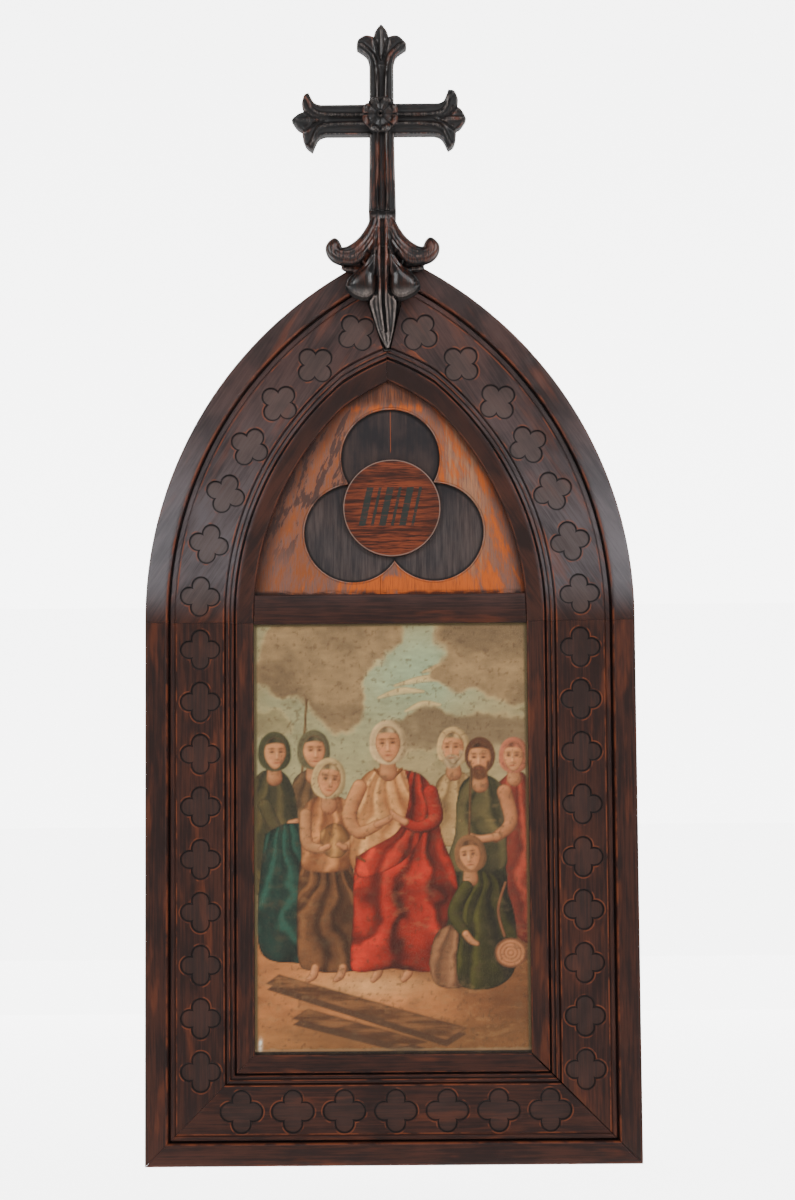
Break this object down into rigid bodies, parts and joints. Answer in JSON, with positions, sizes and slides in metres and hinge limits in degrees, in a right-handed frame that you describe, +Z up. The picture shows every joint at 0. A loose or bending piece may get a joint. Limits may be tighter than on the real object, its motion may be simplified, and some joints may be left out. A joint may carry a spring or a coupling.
{
  "type": "carved devotional wall tablet with a painted picture",
  "caption": "Painted picture under a pointed arch in a moulded hardwood frame with sunk quatrefoils, a leaf bracket and a cross; hangs flat on a wall.",
  "frame": {"origin": "middle of the transom rail's back face, which lies flat on the wall", "axes": "+Z up, +Y into the wall, the painted front faces -Y, +X to the right as seen from the front"},
  "size_m": [0.65, 0.062, 1.522],
  "materials": {
    "stained_wood": "dark stained hardwood with worn edges and a dull wax sheen",
    "worn_wood": "hardwood with its dark stain rubbed away to orange brown",
    "dark_wood": "near-black stained carving, glossy on the high points",
    "painted_panel": "oil paint under aged varnish"
  },
  "bodies": {
    "root": {"left_stile": "stained_wood", "right_stile": "stained_wood", "bottom_rail": "stained_wood", "left_arch": "stained_wood", "right_arch": "stained_wood", "transom_rail": "stained_wood", "tympanum_panel": "worn_wood", "number_disc": "worn_wood", "picture_panel": "painted_panel", "leaf_bracket": "dark_wood", "cross": "dark_wood", "cross_rosette": "dark_wood"}
  },
  "joints": []
}
